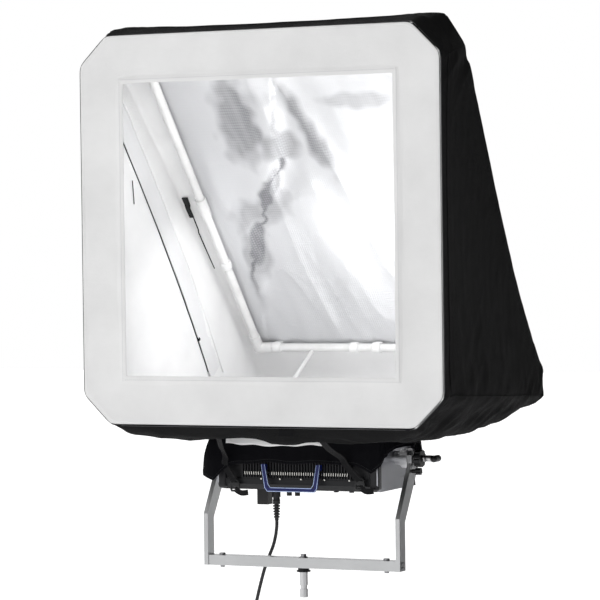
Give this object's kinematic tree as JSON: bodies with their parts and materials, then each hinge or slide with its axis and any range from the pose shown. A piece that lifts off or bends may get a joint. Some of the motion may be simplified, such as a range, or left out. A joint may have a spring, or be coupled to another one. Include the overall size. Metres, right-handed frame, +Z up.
{
  "type": "studio softbox",
  "caption": "Square wedge-shaped bounce softbox with a silver slanted sheet, on a panel lamp that tilts in a cranked aluminium yoke with a spigot.",
  "frame": {"origin": "centre of the lower face of the spigot collar, on the spigot's axis, under the middle of the yoke's crossbar", "axes": "+Z up along the spigot, -Y out of the softbox's open front, +X to the right seen from the front"},
  "size_m": [1.36, 1.25, 2.3979],
  "materials": {
    "yoke_metal": "brushed and clear anodised",
    "fastener": "blackened zinc",
    "lamp_black": "fine black powder coat",
    "panel_grey": "satin grey powder coat",
    "guard_blue": "satin with pale worn edges",
    "engine_board": "board",
    "opal": "opal",
    "steel": "zinc",
    "supply_case": "plain",
    "black_plastic": "moulded",
    "grey_plastic": "moulded",
    "screen": "gloss",
    "socket_metal": "nickel",
    "cord_rubber": "matt",
    "white_tube": "satin white",
    "silver_cloth": "metallised ripstop",
    "white_cloth": "plain weave",
    "black_cloth": "coated nylon",
    "webbing": "woven tape",
    "patch": "blank sewn patch"
  },
  "bodies": {
    "yoke": {"spigot_pin": "yoke_metal", "spigot_collar": "yoke_metal", "yoke_crossbar": "yoke_metal", "yoke_arm_left": "yoke_metal", "yoke_arm_right": "yoke_metal", "yoke_bolts": "fastener", "mains_cord": "cord_rubber", "mains_coil": "cord_rubber", "cord_tail": "cord_rubber", "cord_tie": "cord_rubber", "mains_plug": "cord_rubber"},
    "tilt_lock": {"tilt_lock_handle": "black_plastic"},
    "left_knob": {"tilt_knob_left": "black_plastic"},
    "left_lever": {"tilt_lever_left": "grey_plastic"},
    "right_lock_knob": {"lock_knob_right": "black_plastic"},
    "fan_rotor_left": {"fan_left": "black_plastic"},
    "fan_rotor_right": {"fan_right": "black_plastic"},
    "dial_a": {"encoder_a": "black_plastic"},
    "dial_b": {"encoder_b": "black_plastic"},
    "dial_c": {"encoder_c": "black_plastic"},
    "key_a": {"button_a": "grey_plastic"},
    "key_b": {"button_b": "grey_plastic"},
    "key_c": {"button_c": "grey_plastic"},
    "key_d": {"button_d": "grey_plastic"},
    "head": {"lamp_housing": "lamp_black", "heat_sink_front": "lamp_black", "heat_sink_rear": "lamp_black", "end_panel_left": "panel_grey", "end_panel_right": "panel_grey", "lower_casing": "panel_grey", "guard_bars": "guard_blue", "light_engine": "engine_board", "diffuser_panel": "opal", "power_supply": "supply_case", "driver_board": "engine_board", "tilt_hub_left": "fastener", "tilt_hub_right": "fastener", "display_window": "screen", "data_sockets": "socket_metal", "power_connector": "cord_rubber", "strain_relief": "cord_rubber", "base_ring": "steel", "ring_struts": "steel", "collar_skirt": "black_cloth", "front_frame": "white_tube", "bounce_frame": "white_tube", "bounce_sheet": "silver_cloth", "brace_tubes": "white_tube", "front_border": "white_cloth", "shell_sides": "black_cloth", "shell_corners": "black_cloth", "shell_top": "black_cloth", "shell_rear": "black_cloth", "shell_kick": "black_cloth", "shell_bottom": "black_cloth", "lining_sides": "white_cloth", "lining_top": "white_cloth", "straps": "webbing", "strap_buckles": "black_plastic", "label_patch": "patch"}
  },
  "joints": [
    {"name": "head_tilt", "type": "hinge", "parent": "yoke", "child": "head", "pos_m": [0, 0.12, 0.4], "axis": [1, 0, 0], "range_deg": [-60, 45], "deforming": ["mains_cord"]},
    {"name": "tilt_lock_turn", "type": "hinge", "parent": "head", "child": "tilt_lock", "pos_m": [0.4, 0.12, 0.4], "axis": [1, 0, 0], "range_deg": [0, 270]},
    {"name": "left_knob_turn", "type": "hinge", "parent": "head", "child": "left_knob", "pos_m": [-0.4, 0.12, 0.4], "axis": [1, 0, 0], "range_deg": [-270, 0]},
    {"name": "left_lever_swing", "type": "hinge", "parent": "head", "child": "left_lever", "pos_m": [-0.431, 0.12, 0.4], "axis": [1, 0, 0], "range_deg": [-90, 90]},
    {"name": "right_lock_knob_turn", "type": "hinge", "parent": "yoke", "child": "right_lock_knob", "pos_m": [0.39, 0.096, 0.356], "axis": [1, 0, 0], "range_deg": [0, 270]},
    {"name": "fan_left_spin", "type": "hinge", "parent": "head", "child": "fan_rotor_left", "pos_m": [-0.16, 0.12, 0.35], "axis": [0, 0, 1], "continuous": true},
    {"name": "fan_right_spin", "type": "hinge", "parent": "head", "child": "fan_rotor_right", "pos_m": [0.16, 0.12, 0.35], "axis": [0, 0, 1], "continuous": true},
    {"name": "dial_a_turn", "type": "hinge", "parent": "head", "child": "dial_a", "pos_m": [0.09, 0.09, 0.285], "axis": [0, 0, 1], "continuous": true},
    {"name": "dial_b_turn", "type": "hinge", "parent": "head", "child": "dial_b", "pos_m": [0.15, 0.09, 0.285], "axis": [0, 0, 1], "continuous": true},
    {"name": "dial_c_turn", "type": "hinge", "parent": "head", "child": "dial_c", "pos_m": [0.21, 0.09, 0.285], "axis": [0, 0, 1], "continuous": true},
    {"name": "key_a_press", "type": "slide", "parent": "head", "child": "key_a", "axis": [0, 0, 1], "range_m": [0, 0.0015], "stiffness_N_per_m": 400},
    {"name": "key_b_press", "type": "slide", "parent": "head", "child": "key_b", "axis": [0, 0, 1], "range_m": [0, 0.0015], "stiffness_N_per_m": 400},
    {"name": "key_c_press", "type": "slide", "parent": "head", "child": "key_c", "axis": [0, 0, 1], "range_m": [0, 0.0015], "stiffness_N_per_m": 400},
    {"name": "key_d_press", "type": "slide", "parent": "head", "child": "key_d", "axis": [0, 0, 1], "range_m": [0, 0.0015], "stiffness_N_per_m": 400}
  ]
}
